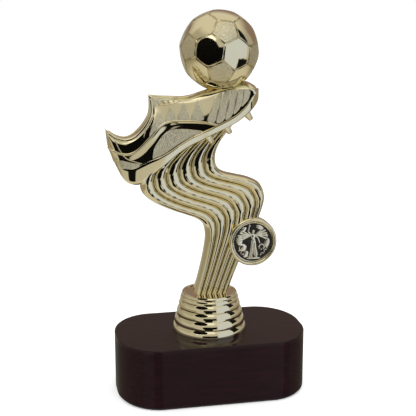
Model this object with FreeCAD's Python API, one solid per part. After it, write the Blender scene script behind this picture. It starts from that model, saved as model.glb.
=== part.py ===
import FreeCAD, Part
import math
import os

V = FreeCAD.Vector

# Football figure trophy. Millimetres, +Z up, X along the base, the front faces -Y.
# The origin is the centre of the underside, where the felt meets the shelf.

# base: a lacquered block with rounded ends
base_length = 118.0
base_depth = 68.0
base_top = 38.0
felt_thickness = 1.0
felt_inset = 1.5
base_end_rx = 25.5          # each corner is a quarter ellipse, longer across the depth
base_end_ry = 30.0
base_edge_round = 0.9

# tie rod and its hardware, M6
rod_radius = 3.0
rod_hole_radius = 3.3
rod_bottom = 2.6
rod_top = 76.0
nut_across_flats = 10.0
nut_height = 5.0
nut_bore_radius = 3.05
washer_radius = 9.0
washer_thickness = 1.6
counterbore_radius = 11.0
counterbore_depth = 10.5

# riser: a hollow collar of six stepped, rounded rings
riser_ring_radii = [23.2, 21.8, 20.4, 19.1, 18.1, 17.3]
riser_ring_heights = [5.2, 5.2, 4.8, 4.7, 2.5, 2.1]
riser_ring_bulge = 0.55
riser_wall = 2.2
riser_boss_radius = 6.5
riser_recess_radius = 15.4
riser_recess_depth = 0.6

# figure: two moulded halves that part on the plane y = 0
rib_count = 6
column_core_depth = 4.6     # half the column's depth at the bottom of the grooves
rib_shoulder_depth = 6.2
column_depth = 7.2          # half the column's depth over the ribs
rib_shoulder_share = 0.14   # how far in each rib's shoulder and crest start, over its width
rib_crest_share = 0.34
column_cavity_depth = 3.0
column_cavity_bottom = 80.0
column_cavity_edge_share = 0.12
nut_pocket_floor = 66.5
nut_pocket_clearance = 0.15

# corners of the column's two outer edges, from the foot up to the sole
column_left = [(-10.2, 61.9), (-2.2, 106.3), (-42.9, 124.0), (-42.9, 131.0), (-39.0, 138.0)]
column_right = [(10.8, 61.9), (38.6, 130.0), (-2.0, 142.3), (8.6, 156.8), (22.0, 176.0)]
column_radii_left = [8.0, 7.0, 5.0]
column_radii_right = [12.0, 8.2, 10.0]

# boot
boot_half_width = 11.5
boot_heel_half_width = 8.5
boot_top_half_width = 6.2
boot_wall = 2.2
boot_angle = 38.0           # the sole's slope from the heel up to the toe, degrees
boot_heel_end = 5.0         # the plan's two ends, measured along the sole
boot_toe_end = 103.0
stud_radius = 1.7
stud_length = 3.4
stud_row_y = 7.2

# ball
ball_centre = V(5.8, 0, 210.4)
ball_radius = 23.6
ball_wall = 2.2
ball_seat_gap = 0.1

# medal and its cup, on the right of the column
medal_centre = (25.8, 94.2)
cup_radius = 15.0
cup_bore_radius = 12.9
cup_front = 8.2
cup_floor = 5.4
medal_radius = 12.5
medal_thickness = 1.0
pad_radius = 11.0
pad_thickness = 0.8

os.makedirs("parts", exist_ok=True)


def export(name, shape):
    """Write one node and say what it holds."""
    shape = shape.removeSplitter()
    print(name, "solids", len(shape.Solids), "valid", shape.isValid(), "mm3", round(shape.Volume, 1))
    shape.exportStep("parts/" + name + ".step")


def in_side_view(x, z, y=0.0):
    return V(x, y, z)


def rounded_run(corners, radii, y=0.0):
    """Edges of an open run of straight lines whose inner corners are tangent arcs."""
    points = [in_side_view(x, z, y) for x, z in corners]
    edges = []
    start = points[0]
    for before, corner, after, radius in zip(points, points[1:], points[2:], radii):
        to_start = (before - corner).normalize()
        to_end = (after - corner).normalize()
        half_angle = to_start.getAngle(to_end) / 2
        reach = radius / math.tan(half_angle)
        inward = (to_start + to_end).normalize()
        centre = corner + inward * (radius / math.sin(half_angle))
        arc_start = corner + to_start * reach
        arc_end = corner + to_end * reach
        edges.append(Part.LineSegment(start, arc_start).toShape())
        edges.append(Part.Arc(arc_start, centre - inward * radius, arc_end).toShape())
        start = arc_end
    edges.append(Part.LineSegment(start, points[-1]).toShape())
    return edges


def between(left, right, share):
    return left + (right - left) * share


def column_line(share, y=0.0):
    """The line that runs up the column at this share of its width, from left to right."""
    corners = [(between(a[0], b[0], share), between(a[1], b[1], share))
               for a, b in zip(column_left, column_right)]
    radii = [between(a, b, share) for a, b in zip(column_radii_left, column_radii_right)]
    return rounded_run(corners, radii, y)


def strip_wire(share_from, share_to, y=0.0):
    """Closed outline between two of the column's lines."""
    up = column_line(share_from, y)
    down = column_line(share_to, y)
    foot = Part.LineSegment(up[0].Vertexes[0].Point, down[0].Vertexes[0].Point).toShape()
    head = Part.LineSegment(up[-1].Vertexes[-1].Point, down[-1].Vertexes[-1].Point).toShape()
    return Part.Wire(Part.__sortEdges__(up + [head] + down[::-1] + [foot]))


def plate(wire, depth):
    """The front (-Y) extrusion of an outline that lies on the parting plane."""
    return Part.Face(wire).extrude(V(0, -depth, 0))


def cylinder(radius, x, y, z, length, direction=V(0, 0, 1)):
    return Part.makeCylinder(radius, length, V(x, y, z), direction)


def hexagon(across_flats, z, height):
    corner = across_flats / math.sqrt(3)
    points = [V(corner * math.cos(math.radians(a)), corner * math.sin(math.radians(a)), z)
              for a in range(0, 361, 60)]
    return Part.Face(Part.makePolygon(points)).extrude(V(0, 0, height))


def base_outline(length, depth, rx, ry, z):
    """A rectangle whose corners are quarter ellipses, at height z, run clockwise from above."""
    arcs = []
    for sign_x, sign_y, turn in ((1, 1, 0), (1, -1, 90), (-1, -1, 180), (-1, 1, 270)):
        centre = V(sign_x * (length / 2 - rx), sign_y * (depth / 2 - ry), z)
        ellipse = Part.Ellipse(centre + V(0, ry, 0), centre + V(rx, 0, 0), centre)
        arcs.append(Part.ArcOfEllipse(ellipse, math.radians(turn), math.radians(turn + 90)).toShape())
    edges = []
    for arc, following in zip(arcs, arcs[1:] + arcs[:1]):
        edges.append(arc)
        edges.append(Part.LineSegment(arc.Vertexes[-1].Point, following.Vertexes[0].Point).toShape())
    return Part.Wire(edges)


def make_base():
    wire = base_outline(base_length, base_depth, base_end_rx, base_end_ry, felt_thickness)
    block = Part.Face(wire).extrude(V(0, 0, base_top - felt_thickness))
    rims = [e for e in block.Edges if abs(e.BoundBox.ZMax - e.BoundBox.ZMin) < 1e-6]
    block = block.makeFillet(base_edge_round, rims)
    block = block.cut(cylinder(rod_hole_radius, 0, 0, 0, base_top + 1))
    return block.cut(cylinder(counterbore_radius, 0, 0, 0, felt_thickness + counterbore_depth))


def make_felt():
    wire = base_outline(base_length - 2 * felt_inset, base_depth - 2 * felt_inset,
                        base_end_rx - felt_inset, base_end_ry - felt_inset, 0)
    return Part.Face(wire).extrude(V(0, 0, felt_thickness))


def make_nut(z):
    nut = hexagon(nut_across_flats, z, nut_height)
    return nut.cut(cylinder(nut_bore_radius, 0, 0, z - 1, nut_height + 2))


def make_washer(z):
    ring = cylinder(washer_radius, 0, 0, z, washer_thickness)
    return ring.cut(cylinder(rod_hole_radius, 0, 0, z - 1, washer_thickness + 2))


def make_rod():
    rod = cylinder(rod_radius, 0, 0, rod_bottom, rod_top - rod_bottom)
    ends = [e for e in rod.Edges if e.Closed]
    return rod.makeChamfer(0.6, ends)


def make_riser():
    edges = []
    low = base_top
    for radius, height in zip(riser_ring_radii, riser_ring_heights):
        high = low + height
        neck = radius - riser_ring_bulge
        edges.append(Part.Arc(V(neck, 0, low), V(radius, 0, (low + high) / 2), V(neck, 0, high)).toShape())
        low = high
    for below, above in zip(edges[:], edges[1:]):
        edges.append(Part.LineSegment(below.Vertexes[-1].Point, above.Vertexes[0].Point).toShape())
    riser_top = base_top + sum(riser_ring_heights)
    recess_floor = riser_top - riser_recess_depth
    inner_top = recess_floor - riser_wall
    outer_foot = V(riser_ring_radii[0] - riser_ring_bulge, 0, base_top)
    rim = V(riser_ring_radii[-1] - riser_ring_bulge, 0, riser_top)
    loop = [rim, V(riser_recess_radius, 0, riser_top), V(riser_recess_radius, 0, recess_floor),
            V(rod_hole_radius, 0, recess_floor), V(rod_hole_radius, 0, base_top),
            V(riser_boss_radius, 0, base_top), V(riser_boss_radius, 0, inner_top),
            V(riser_ring_radii[-1] - riser_wall - 1, 0, inner_top),
            V(outer_foot.x - riser_wall, 0, base_top), outer_foot]
    edges += [Part.LineSegment(a, b).toShape() for a, b in zip(loop, loop[1:])]
    wire = Part.Wire(Part.__sortEdges__(edges))
    return Part.Face(wire).revolve(V(0, 0, 0), V(0, 0, 1), 360)


def curve(points, y=0.0):
    """A smooth edge through side-view points."""
    spline = Part.BSplineCurve()
    spline.interpolate([in_side_view(x, z, y) for x, z in points])
    return spline.toShape()


def boot_side_wire():
    """The boot from the side: heel tab, collar, tongue, instep, toe, sole and heel."""
    heel_tab = (-62.2, 165.8)
    tongue_root = (-36.6, 177.5)
    tongue_corner = (-36.8, 185.4)
    lace_start = (-18.0, 184.1)
    toe_top = (22.0, 192.0)
    toe_tip = (30.0, 185.5)
    sole_toe = (25.5, 177.0)
    sole_heel = (-35.0, 138.2)
    heel_bottom = (-46.3, 132.6)
    edges = [
        curve([heel_tab, (-58.0, 162.6), (-51.2, 160.3), (-43.0, 165.2), tongue_root]),
        curve([tongue_root, (-37.4, 181.5), tongue_corner]),
        curve([tongue_corner, (-27.0, 184.0), lace_start]),
        curve([lace_start, (-7.8, 185.8), (6.0, 189.5), toe_top]),
        curve([toe_top, (27.5, 189.4), toe_tip]),
        curve([toe_tip, (28.6, 181.6), sole_toe]),
        curve([sole_toe, (15.0, 168.0), (-6.0, 157.2), (-22.0, 148.5), sole_heel]),
        curve([sole_heel, (-40.0, 133.8), heel_bottom]),
        curve([heel_bottom, (-53.2, 137.2), (-59.5, 150.0), (-63.0, 162.6), heel_tab]),
    ]
    return Part.Wire(edges)


def boot_cavity_wire():
    """The hollow from the side: straight runs that keep a wall inside the boot's outline."""
    corners = [(-57.5, 157.5), (-51.0, 157.0), (-41.0, 162.0), (-34.2, 174.0), (-34.4, 181.5),
               (-18.0, 180.8), (4.0, 185.0), (21.0, 188.0), (26.0, 184.8), (22.5, 178.0),
               (11.0, 169.0), (-8.0, 159.5), (-24.0, 150.5), (-37.0, 140.5), (-46.0, 136.2),
               (-51.0, 140.0)]
    points = [in_side_view(x, z) for x, z in corners]
    return Part.makePolygon(points + points[:1])


def in_boot_axes(along, across, up=0.0):
    """A point given along the sole, across the boot and square to the sole."""
    turn = math.radians(boot_angle)
    heel_x, heel_z = -62.0, 140.0
    return V(heel_x + along * math.cos(turn) - up * math.sin(turn), across,
             heel_z + along * math.sin(turn) + up * math.cos(turn))


def make_boot_block(inset):
    """The boot's outer form, or its cavity when inset: side view, plan and end view in common."""
    side = boot_cavity_wire() if inset else boot_side_wire()
    body = Part.Face(side).extrude(V(0, 40, 0))
    body.translate(V(0, -20, 0))

    wide = boot_half_width - inset
    heel = boot_heel_half_width - inset
    heel_start = boot_heel_end + inset
    toe_end = boot_toe_end - inset
    plan_points = [(heel_start, 0), (heel_start + 2, heel * 0.62), (heel_start + 10, heel),
                   (40, heel), (72, wide), (90, wide * 0.84), (toe_end - 3, wide * 0.5), (toe_end, 0)]
    outline = Part.BSplineCurve()
    outline.interpolate([in_boot_axes(s, w, -60) for s, w in plan_points])
    mirrored = Part.BSplineCurve()
    mirrored.interpolate([in_boot_axes(s, -w, -60) for s, w in plan_points])
    plan = Part.Face(Part.Wire([outline.toShape(), mirrored.toShape()]))
    body = body.common(plan.extrude(in_boot_axes(0, 0, 120) - in_boot_axes(0, 0, 0)))

    top = boot_top_half_width - inset
    section_points = [(-40, -wide), (2, -wide), (22, -(wide + top) / 2 - 0.8), (48, -top), (75, -top)]
    lower_left = [in_boot_axes(-60, w, up) for up, w in section_points]
    spline = Part.BSplineCurve()
    spline.interpolate(lower_left)
    other = Part.BSplineCurve()
    other.interpolate([V(p.x, -p.y, p.z) for p in lower_left])
    floor = Part.LineSegment(lower_left[0], V(lower_left[0].x, -lower_left[0].y, lower_left[0].z)).toShape()
    roof = Part.LineSegment(lower_left[-1], V(lower_left[-1].x, -lower_left[-1].y, lower_left[-1].z)).toShape()
    section = Part.Face(Part.Wire(Part.__sortEdges__([spline.toShape(), roof, other.toShape(), floor])))
    return body.common(section.extrude(in_boot_axes(220, 0) - in_boot_axes(0, 0)))


def make_studs():
    """The front row of studs, square to the sole."""
    down = in_boot_axes(0, 0, -1) - in_boot_axes(0, 0, 0)
    roots = [(-39.5, 136.2), (-29.5, 145.2), (-3.0, 160.2), (9.0, 166.6), (20.5, 175.6)]
    studs = []
    for x, z in roots:
        base = V(x, -stud_row_y, z) - down * 1.0
        studs.append(Part.makeCone(stud_radius, stud_radius * 0.75, stud_length + 1.0, base, down))
    return studs


def make_column_half():
    """Half the ribbed column: a core plate with a raised rib on each strip."""
    half = plate(strip_wire(0, 1), column_core_depth)
    for number in range(rib_count):
        low = number / rib_count
        high = (number + 1) / rib_count
        shoulder = rib_shoulder_share / rib_count
        crest = rib_crest_share / rib_count
        wires = [strip_wire(low, high, -column_core_depth),
                 strip_wire(low + shoulder, high - shoulder, -rib_shoulder_depth),
                 strip_wire(low + crest, high - crest, -column_depth)]
        half = half.fuse(Part.makeLoft(wires, True, True))
    return half


def make_cup():
    """The medal's cup, open to the front, from the parting plane forward."""
    x, z = medal_centre
    cup = cylinder(cup_radius, x, 0, z, cup_front, V(0, -1, 0))
    return cup.cut(cylinder(cup_bore_radius, x, -cup_floor, z, cup_front, V(0, -1, 0)))


def front_space():
    """Everything in front of the parting plane, as far as the figure reaches."""
    return Part.makeBox(140, 30, 150, V(-80, -30, 55))


def make_plain_half():
    """The front half without the cup: half the boot, studs and ribs, hollow where thick."""
    half = make_boot_block(0).common(front_space()).fuse(make_column_half())
    half = half.fuse(make_studs())
    edge = column_cavity_edge_share
    cavity = plate(strip_wire(edge, 1 - edge), column_cavity_depth)
    cavity = cavity.common(Part.makeBox(140, 30, 150, V(-80, -30, column_cavity_bottom)))
    half = half.cut(cavity)
    half = half.cut(make_boot_block(boot_wall).common(front_space()))
    return half.cut(Part.makeSphere(ball_radius + ball_seat_gap, ball_centre))


def cut_rod_seat(half):
    """The foot takes the rod's end and holds the captive nut between the halves."""
    foot_bottom = column_left[0][1]
    half = half.cut(cylinder(rod_hole_radius, 0, 0, foot_bottom - 1, rod_top + 1.5 - foot_bottom + 1))
    pocket = hexagon(nut_across_flats + 2 * nut_pocket_clearance, nut_pocket_floor,
                     nut_height + 2 * nut_pocket_clearance)
    return half.cut(pocket)


def make_figure_front():
    """The front moulding, with the medal's cup."""
    x, z = medal_centre
    half = make_plain_half()
    half = half.cut(cylinder(cup_radius - 1.0, x, -cup_floor, z, 20, V(0, -1, 0)))
    return cut_rod_seat(half.fuse(make_cup()))


def make_figure_rear():
    """The rear moulding: the front's mirror image without the cup."""
    return cut_rod_seat(make_plain_half()).mirror(V(0, 0, 0), V(0, 1, 0))


def make_ball_half(side):
    """Half a hollow ball; side is -1 for the front and 1 for the rear."""
    ball = Part.makeSphere(ball_radius, ball_centre)
    ball = ball.cut(Part.makeSphere(ball_radius - ball_wall, ball_centre))
    low_y = -30 if side < 0 else 0
    return ball.common(Part.makeBox(80, 30, 80, V(ball_centre.x - 40, low_y, ball_centre.z - 40)))


def make_medal():
    x, z = medal_centre
    back = -(cup_floor + pad_thickness)
    disc = cylinder(medal_radius, x, back, z, medal_thickness, V(0, -1, 0))
    rim = cylinder(medal_radius, x, back, z, medal_thickness + 0.5, V(0, -1, 0))
    rim = rim.cut(cylinder(medal_radius - 0.9, x, back, z, 5, V(0, -1, 0)))
    return disc.fuse(rim)


def make_pad():
    x, z = medal_centre
    return cylinder(pad_radius, x, -cup_floor, z, pad_thickness, V(0, -1, 0))


washer_top = felt_thickness + counterbore_depth
base_nut_top = washer_top - washer_thickness

export("felt_pad", make_felt())
export("base_block", make_base())
export("base_washer", make_washer(washer_top - washer_thickness))
export("base_nut", make_nut(base_nut_top - nut_height))
export("tie_rod", make_rod())
export("riser", make_riser())
export("figure_nut", make_nut(nut_pocket_floor + nut_pocket_clearance))
export("figure_front_half", make_figure_front())
export("figure_rear_half", make_figure_rear())
export("ball_front_half", make_ball_half(-1))
export("ball_rear_half", make_ball_half(1))
export("medal_disc", make_medal())
export("medal_pad", make_pad())
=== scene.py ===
import math

import bmesh
import bpy
from mathutils import Matrix, Vector, noise
from mathutils.bvhtree import BVHTree


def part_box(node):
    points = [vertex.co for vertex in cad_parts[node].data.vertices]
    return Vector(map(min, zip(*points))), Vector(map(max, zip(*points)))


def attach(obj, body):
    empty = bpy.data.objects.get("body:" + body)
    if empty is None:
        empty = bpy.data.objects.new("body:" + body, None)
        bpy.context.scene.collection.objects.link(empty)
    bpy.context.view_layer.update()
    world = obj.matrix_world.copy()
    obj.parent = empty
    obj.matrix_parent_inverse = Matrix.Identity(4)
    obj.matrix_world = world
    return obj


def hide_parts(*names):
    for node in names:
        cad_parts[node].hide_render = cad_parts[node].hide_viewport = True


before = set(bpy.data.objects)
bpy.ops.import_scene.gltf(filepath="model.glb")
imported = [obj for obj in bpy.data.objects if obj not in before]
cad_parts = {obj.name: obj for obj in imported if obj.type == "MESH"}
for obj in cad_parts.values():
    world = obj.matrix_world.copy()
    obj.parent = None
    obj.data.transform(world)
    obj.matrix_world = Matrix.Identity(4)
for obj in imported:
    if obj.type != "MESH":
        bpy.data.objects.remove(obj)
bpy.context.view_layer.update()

mm = 0.001


# --- Base block -------------------------------------------------------------------
# A solid wooden block with rounded ends, its arrises just eased, dyed dark rosewood
# and sprayed with a thick gloss lacquer; drilled and counterbored from below.
base_low, base_high = [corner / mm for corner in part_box("base_block")]
base_length = base_high.x - base_low.x
base_depth = base_high.y - base_low.y
end_radius_x = 25.5
end_radius_y = 30.0
arris_radius = 0.9
rod_hole_radius = 3.3
counterbore_radius = 11.0
counterbore_depth = 10.5
# the coat is thinner on the sides than on the top, which dims the sides' reflections: painted shade on the sides
side_coat = 0.14
top_coat = 0.66


def new_material(name):
    """A material with its surface shader, its node tree and object coordinates ready."""
    material = bpy.data.materials.new(name)
    material.use_nodes = True
    tree = material.node_tree
    shader = tree.nodes["Principled BSDF"]
    place = tree.nodes.new("ShaderNodeTexCoord").outputs["Object"]
    return material, tree, shader, place


def noise_on(tree, place, scale, detail=3.0, stretch=(1, 1, 1)):
    """Noise over the object's own coordinates, drawn out along an axis by stretch."""
    mapping = tree.nodes.new("ShaderNodeMapping")
    mapping.inputs["Scale"].default_value = stretch
    tree.links.new(place, mapping.inputs["Vector"])
    texture = tree.nodes.new("ShaderNodeTexNoise")
    texture.inputs["Scale"].default_value = scale
    texture.inputs["Detail"].default_value = detail
    tree.links.new(mapping.outputs["Vector"], texture.inputs["Vector"])
    return texture.outputs["Fac"]


def ramp_on(tree, value, stops):
    """Colours or greys at chosen positions along a value."""
    ramp = tree.nodes.new("ShaderNodeValToRGB")
    elements = ramp.color_ramp.elements
    while len(elements) < len(stops):
        elements.new(0.5)
    for element, (position, colour) in zip(elements, stops):
        element.position = position
        element.color = (*colour, 1) if isinstance(colour, tuple) else (colour, colour, colour, 1)
    tree.links.new(value, ramp.inputs["Fac"])
    return ramp.outputs["Color"]


def bump_on(tree, shader, height, distance, strength=1.0, socket="Normal"):
    """Fine relief from a grey value; distance is in metres."""
    bump = tree.nodes.new("ShaderNodeBump")
    bump.inputs["Distance"].default_value = distance
    bump.inputs["Strength"].default_value = strength
    tree.links.new(height, bump.inputs["Height"])
    tree.links.new(bump.outputs["Normal"], shader.inputs[socket])


def sharpen_edges(form, degrees):
    """Shade smooth, but keep folds steeper than this angle crisp."""
    limit = math.radians(degrees)
    for face in form.faces:
        face.smooth = True
    for edge in form.edges:
        edge.smooth = len(edge.link_faces) == 2 and edge.calc_face_angle(0) < limit


def finished(form, name, materials, slot, *nodes):
    """Turn a form built in millimetres into a piece that rides on the trophy's body."""
    bmesh.ops.scale(form, vec=(mm, mm, mm), verts=form.verts)
    mesh = bpy.data.meshes.new(name)
    form.to_mesh(mesh)
    form.free()
    for material in materials:
        mesh.materials.append(material)
    piece = bpy.data.objects.new(name, mesh)
    bpy.context.scene.collection.objects.link(piece)
    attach(piece, "root")
    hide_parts(*nodes)
    return piece


def rosewood_lacquer():
    material, tree, shader, place = new_material("rosewood_lacquer")
    grain = noise_on(tree, place, 55, 5.0, (1.0, 8.0, 8.0))
    colour = ramp_on(tree, grain, [(0.30, (0.010, 0.0020, 0.0035)), (0.55, (0.014, 0.0030, 0.005)),
                                   (0.80, (0.021, 0.0045, 0.007))])
    tree.links.new(colour, shader.inputs["Base Color"])
    shader.inputs["Roughness"].default_value = 0.5
    shader.inputs["Specular IOR Level"].default_value = 0.08
    height = tree.nodes.new("ShaderNodeSeparateXYZ")
    tree.links.new(place, height.inputs[0])
    # coat weight by height: a full coat on the top face and a thin one on the sides, a painted shade on the
    # sides
    tree.links.new(ramp_on(tree, height.outputs["Z"], [(0.0374, side_coat), (0.0379, top_coat)]),
                   shader.inputs["Coat Weight"])
    shader.inputs["Coat Roughness"].default_value = 0.03
    shader.inputs["Coat IOR"].default_value = 1.45
    ripple = noise_on(tree, place, 160, 1.0)
    bump_on(tree, shader, ripple, 0.00003, 0.5, "Coat Normal")
    return material


def cut_away(piece, radius, low, high):
    """Drill a round hole up the trophy's axis through a piece."""
    drill = bmesh.new()
    place = Matrix.Translation((0, 0, (low + high) / 2 * mm))
    bmesh.ops.create_cone(drill, cap_ends=True, segments=64, radius1=radius * mm,
                          radius2=radius * mm, depth=(high - low) * mm, matrix=place)
    mesh = bpy.data.meshes.new("drill")
    drill.to_mesh(mesh)
    drill.free()
    tool = bpy.data.objects.new("drill", mesh)
    bpy.context.scene.collection.objects.link(tool)
    boolean = piece.modifiers.new("drilled", "BOOLEAN")
    boolean.object = tool
    boolean.operation = "DIFFERENCE"
    boolean.solver = "EXACT"
    bpy.context.view_layer.update()
    cut = bpy.data.meshes.new_from_object(piece.evaluated_get(bpy.context.evaluated_depsgraph_get()))
    piece.modifiers.clear()
    piece.data = cut
    bpy.data.objects.remove(tool)


block = bmesh.new()
bmesh.ops.create_circle(block, cap_ends=True, segments=160, radius=1.0,
                        matrix=Matrix.Rotation(math.pi / 160, 4, "Z"))
for vert in block.verts:
    side_x = math.copysign(base_length / 2 - end_radius_x, vert.co.x)
    side_y = math.copysign(base_depth / 2 - end_radius_y, vert.co.y)
    vert.co = Vector((side_x + vert.co.x * end_radius_x, side_y + vert.co.y * end_radius_y, base_low.z))
raised = bmesh.ops.extrude_face_region(block, geom=block.faces[:])
top_verts = [item for item in raised["geom"] if isinstance(item, bmesh.types.BMVert)]
bmesh.ops.translate(block, verts=top_verts, vec=(0, 0, base_high.z - base_low.z))
bmesh.ops.recalc_face_normals(block, faces=block.faces)
arrises = [edge for edge in block.edges if abs(edge.verts[0].co.z - edge.verts[1].co.z) < 1e-4]
bmesh.ops.bevel(block, geom=arrises, offset=arris_radius, segments=5, profile=0.5,
                affect="EDGES", material=-1)
sharpen_edges(block, 40)
lacquered_base = finished(block, "lacquered_base", [rosewood_lacquer()], "lacquered_wood", "base_block")
cut_away(lacquered_base, rod_hole_radius, base_low.z - 1, base_high.z + 1)
cut_away(lacquered_base, counterbore_radius, base_low.z - 1, base_low.z + counterbore_depth)
weighted = lacquered_base.modifiers.new("flat_faces_stay_flat", "WEIGHTED_NORMAL")
weighted.keep_sharp = True
weighted.weight = 100


# --- Felt and hardware --------------------------------------------------------------
# The pad of black felt glued under the base, and the zinc plated M6 rod, nuts and
# washer that pull the award together; the foam tape that holds the medal.
def black_felt():
    material, tree, shader, place = new_material("black_felt")
    fibres = noise_on(tree, place, 1400, 6.0)
    colour = ramp_on(tree, fibres, [(0.3, (0.006, 0.006, 0.007)), (0.7, (0.03, 0.03, 0.032))])
    tree.links.new(colour, shader.inputs["Base Color"])
    shader.inputs["Roughness"].default_value = 0.95
    shader.inputs["Sheen Weight"].default_value = 0.4
    bump_on(tree, shader, fibres, 0.0003)
    return material


def zinc_plate():
    material, tree, shader, place = new_material("zinc_plate")
    cloud = noise_on(tree, place, 300, 4.0)
    colour = ramp_on(tree, cloud, [(0.3, (0.50, 0.51, 0.50)), (0.7, (0.66, 0.66, 0.63))])
    tree.links.new(colour, shader.inputs["Base Color"])
    shader.inputs["Metallic"].default_value = 1.0
    tree.links.new(ramp_on(tree, cloud, [(0.3, 0.30), (0.7, 0.42)]), shader.inputs["Roughness"])
    return material


def foam_tape():
    material, tree, shader, place = new_material("foam_tape")
    cells = noise_on(tree, place, 2500, 2.0)
    colour = ramp_on(tree, cells, [(0.35, (0.62, 0.62, 0.58)), (0.65, (0.80, 0.80, 0.76))])
    tree.links.new(colour, shader.inputs["Base Color"])
    shader.inputs["Roughness"].default_value = 0.8
    bump_on(tree, shader, cells, 0.0001)
    return material


zinc = zinc_plate()
for node, material in (("felt_pad", black_felt()), ("medal_pad", foam_tape()), ("tie_rod", zinc),
                       ("base_nut", zinc), ("base_washer", zinc), ("figure_nut", zinc)):
    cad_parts[node].data.materials.clear()
    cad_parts[node].data.materials.append(material)


# --- Riser ----------------------------------------------------------------------------
# The collar between base and figure: one hollow moulding of six stepped rings, each
# a soft bulge, vacuum metallised in pale gold like the figure and the ball.
riser_low, riser_high = [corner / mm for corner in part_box("riser")]
ring_radii = [23.2, 21.8, 20.4, 19.1, 18.1, 17.3]
ring_tops = [5.2, 10.4, 15.2, 19.9, 22.4, 24.5]
riser_wall = 2.2
recess_radius = 15.4
recess_depth = 0.6
boss_radius = 6.5


def pale_gold():
    material, tree, shader, place = new_material("pale_gold")
    haze = noise_on(tree, place, 90, 4.0)
    colour = ramp_on(tree, haze, [(0.3, (0.83, 0.745, 0.50)), (0.7, (0.87, 0.79, 0.55))])
    tree.links.new(colour, shader.inputs["Base Color"])
    shader.inputs["Metallic"].default_value = 1.0
    tree.links.new(ramp_on(tree, haze, [(0.35, 0.035), (0.75, 0.085)]), shader.inputs["Roughness"])
    flow = noise_on(tree, place, 220, 1.0)
    bump_on(tree, shader, flow, 0.00002, 0.6)
    return material


def matt_gold():
    material, tree, shader, place = new_material("matt_gold")
    grains = tree.nodes.new("ShaderNodeTexVoronoi")
    grains.inputs["Scale"].default_value = 1500
    tree.links.new(place, grains.inputs["Vector"])
    spread = noise_on(tree, place, 900, 3.0)
    tree.links.new(ramp_on(tree, spread, [(0.3, (0.74, 0.665, 0.46)), (0.7, (0.90, 0.83, 0.60))]),
                   shader.inputs["Base Color"])
    shader.inputs["Metallic"].default_value = 1.0
    shader.inputs["Roughness"].default_value = 0.33
    bump_on(tree, shader, grains.outputs["Distance"], 0.0003, 0.9)
    return material


def spun(profile, steps):
    """A solid of revolution about the trophy's axis from a closed outline of (radius, height)."""
    form = bmesh.new()
    corners = [form.verts.new((radius, 0, height)) for radius, height in profile]
    for corner, following in zip(corners, corners[1:] + corners[:1]):
        form.edges.new((corner, following))
    bmesh.ops.spin(form, geom=form.verts[:] + form.edges[:], axis=(0, 0, 1), cent=(0, 0, 0),
                   angle=math.tau, steps=steps, use_merge=True)
    bmesh.ops.remove_doubles(form, verts=form.verts, dist=1e-4)
    bmesh.ops.recalc_face_normals(form, faces=form.faces)
    return form


ring_lean_low = math.radians(-9)
ring_lean_high = math.radians(40)


def ring_outline(radius, low, high, count=12):
    """One ring of the collar: a soft swell that leans back as it rises, above a fine crease."""
    first, last = ring_lean_low, ring_lean_high
    curve = (high - low) / (math.sin(last) - math.sin(first))
    points = []
    for step in range(count + 1):
        lean = first + (last - first) * step / count
        points.append((radius - curve * (1 - math.cos(lean)),
                       low + curve * (math.sin(lean) - math.sin(first))))
    return points


gold = pale_gold()
stippled = matt_gold()
collar = []
ring_low = riser_low.z
for radius, top in zip(ring_radii, ring_tops):
    ring_high = riser_low.z + top
    collar += ring_outline(radius, ring_low, ring_high - 0.02)
    ring_low = ring_high
collar[-1] = (collar[-1][0], riser_high.z)
inner_top = riser_high.z - recess_depth - riser_wall
collar += [(recess_radius + 0.25, riser_high.z), (recess_radius, riser_high.z - 0.2),
           (recess_radius, riser_high.z - recess_depth), (rod_hole_radius, riser_high.z - recess_depth),
           (rod_hole_radius, riser_low.z), (boss_radius, riser_low.z), (boss_radius, inner_top),
           (ring_radii[-1] - riser_wall - 1, inner_top), (ring_radii[0] - riser_wall - 1, riser_low.z)]
riser = spun(collar, 192)
sharpen_edges(riser, 50)
finished(riser, "stepped_riser", [gold], "gold_plastic", "riser")


# --- Ball ---------------------------------------------------------------------------------
# A hollow football moulded in two halves: twenty polished six-sided panels and twelve
# matt five-sided ones, parted by V-shaped seams. It is glued down on the boot's instep.
ball_low, ball_high = [corner / mm for corner in (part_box("ball_front_half")[0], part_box("ball_rear_half")[1])]
ball_centre = (ball_low + ball_high) / 2
ball_radius = (ball_high.z - ball_low.z) / 2
seam_half_width = 0.030         # on a ball of radius one
seam_depth = 0.024
panel_flatness = 0.31
parting_gap = 0.03
ball_turn = math.radians(-5.4)
ball_raise = 0.016
ball_tip = math.radians(7.0)


# the seams' rims get a darker, rougher gold than the panels: painted shade in the grooves
def shaded_seam_gold():
    material, tree, shader, place = new_material("shaded_seam_gold")
    haze = noise_on(tree, place, 300, 2.0)
    tree.links.new(ramp_on(tree, haze, [(0.3, (0.52, 0.45, 0.27)), (0.7, (0.66, 0.58, 0.37))]),
                   shader.inputs["Base Color"])
    shader.inputs["Metallic"].default_value = 1.0
    shader.inputs["Roughness"].default_value = 0.16
    return material


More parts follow.
